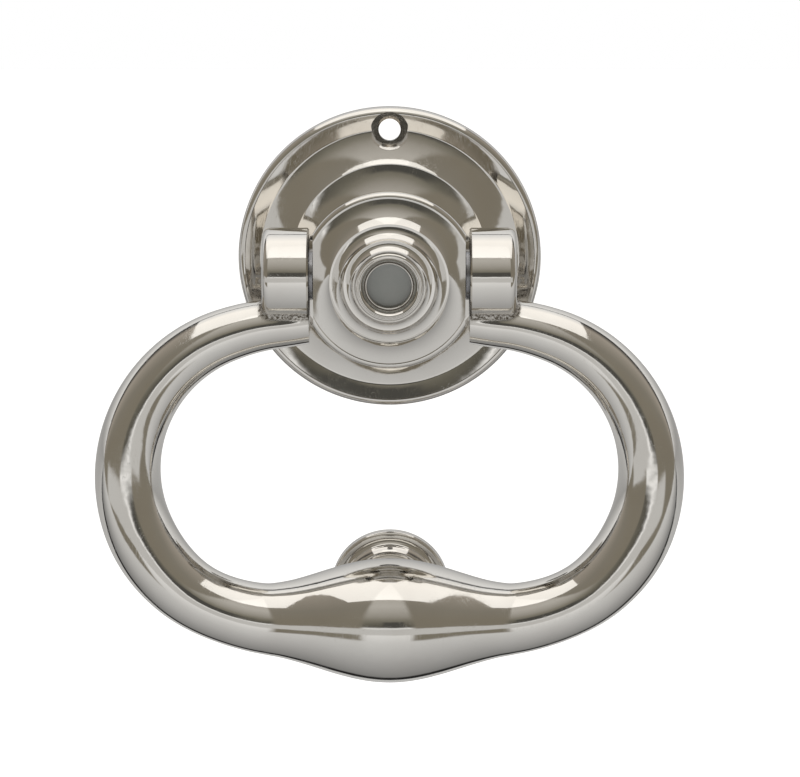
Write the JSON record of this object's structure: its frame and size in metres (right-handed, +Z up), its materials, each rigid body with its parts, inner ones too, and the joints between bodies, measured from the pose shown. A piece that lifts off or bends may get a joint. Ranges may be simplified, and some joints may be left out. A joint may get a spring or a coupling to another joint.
{
  "type": "door knocker",
  "caption": "Ring door knocker: a turned rose and boss carry a swinging loop with a fat lobe that strikes a separate button; a door viewer passes through the boss.",
  "frame": {"origin": "centre of the rose's back face, on the door's face", "axes": "+Y into the door, so the front looks along -Y; +X to the right and +Z up as seen from the front"},
  "size_m": [0.1446, 0.098, 0.1402],
  "materials": {
    "nickel": "polished nickel plate on brass",
    "steel": "bright zinc",
    "brass": "turned, unplated",
    "nylon": "black nylon",
    "glass": "clear lens"
  },
  "bodies": {
    "mounting": {"rose": "nickel", "boss": "nickel", "boss_screws": "steel", "left_pivot_pin": "steel", "right_pivot_pin": "steel", "viewer_barrel": "nickel", "barrel_nut": "brass", "front_lens": "glass", "front_spacer": "nylon", "middle_lens": "glass", "rear_spacer": "nylon", "field_lens": "glass", "lens_retainer": "brass", "eyepiece_sleeve": "nickel", "eyepiece_lens": "glass", "sleeve_washer": "nylon", "strike_button": "nickel", "strike_stud": "steel"},
    "knocker": {"knocker_ring": "nickel", "left_pivot_bush": "steel", "right_pivot_bush": "steel"}
  },
  "joints": [
    {"name": "ring_swing", "type": "hinge", "parent": "mounting", "child": "knocker", "pos_m": [0, -0.024, 0], "axis": [-1, 0, 0], "range_deg": [0, 178]}
  ]
}
